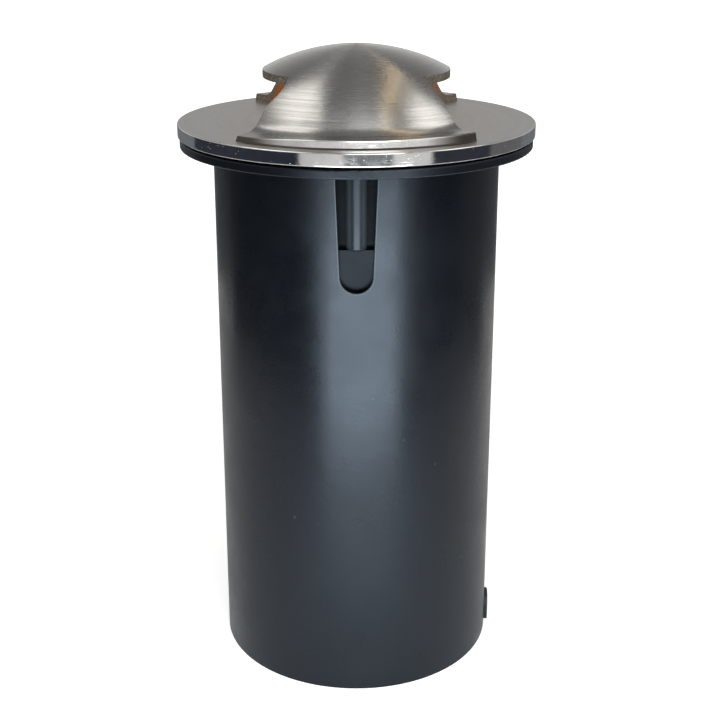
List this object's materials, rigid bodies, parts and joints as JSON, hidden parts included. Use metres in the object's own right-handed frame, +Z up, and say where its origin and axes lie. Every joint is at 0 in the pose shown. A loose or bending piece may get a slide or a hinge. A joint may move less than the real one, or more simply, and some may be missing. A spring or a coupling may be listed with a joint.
{
  "type": "in ground well light",
  "caption": "Round in-ground well light: two-way stainless dome cover on a turning rim, black sleeve, sealed lamp can with a tilting spot lamp.",
  "frame": {"origin": "centre of the foot ring of the sleeve, on the surface that the light stands on", "axes": "+Z up along the sleeve; -Y is the side seen in the picture, where one leg of the cover stands above a screw boss; +X is the side where the cable leaves"},
  "size_m": [0.11, 0.11, 0.1969],
  "materials": {
    "sleeve_plastic": "semi-gloss blue-black moulded plastic",
    "black_rubber": "matt black rubber",
    "black_nylon": "moulded black nylon",
    "white_plastic": "moulded white plastic",
    "brass": "turned brass",
    "screw_steel": "bright stainless steel",
    "gimbal_steel": "plain stainless steel",
    "rim_steel": "satin top, polished edge",
    "cover_steel": "brushed round the dome, rough cut edges, heat tint inside the legs",
    "can_aluminium": "cast, blasted grey",
    "clear_glass": "clear",
    "reflector_glass": "mirror-coated glass",
    "white_ceramic": "matt white"
  },
  "bodies": {
    "ground_sleeve": {"sleeve": "sleeve_plastic", "cable_grommet": "black_rubber", "boss_inserts": "brass", "can_screws": "screw_steel", "lamp_can": "can_aluminium", "gland_body": "black_nylon", "gland_seal": "black_rubber", "gland_nut": "black_nylon", "gland_locknut": "black_nylon", "terminal_block": "white_plastic", "terminal_screws": "screw_steel", "earth_screw": "brass", "gimbal_carrier": "can_aluminium", "carrier_screws": "screw_steel"},
    "lamp_gimbal": {"gimbal_ring": "gimbal_steel", "pivot_pins": "screw_steel", "lamp_clip": "screw_steel", "lamp_body": "reflector_glass", "lamp_capsule": "clear_glass", "lamp_glass": "clear_glass", "lamp_pins": "screw_steel", "lampholder": "white_ceramic"},
    "face": {"rim": "rim_steel", "cover": "cover_steel", "cover_screws": "screw_steel", "lens": "clear_glass", "lens_gasket": "black_rubber", "lens_retainer": "can_aluminium", "face_seal": "black_rubber", "face_o_ring": "black_rubber", "snap_ring": "screw_steel"}
  },
  "joints": [
    {"name": "face_turn", "type": "hinge", "parent": "ground_sleeve", "child": "face", "pos_m": [0, 0, 0.172], "axis": [0, 0, 1], "continuous": true},
    {"name": "lamp_tilt", "type": "hinge", "parent": "ground_sleeve", "child": "lamp_gimbal", "pos_m": [0, 0, 0.146], "axis": [0, 1, 0], "range_deg": [-15, 15]}
  ]
}
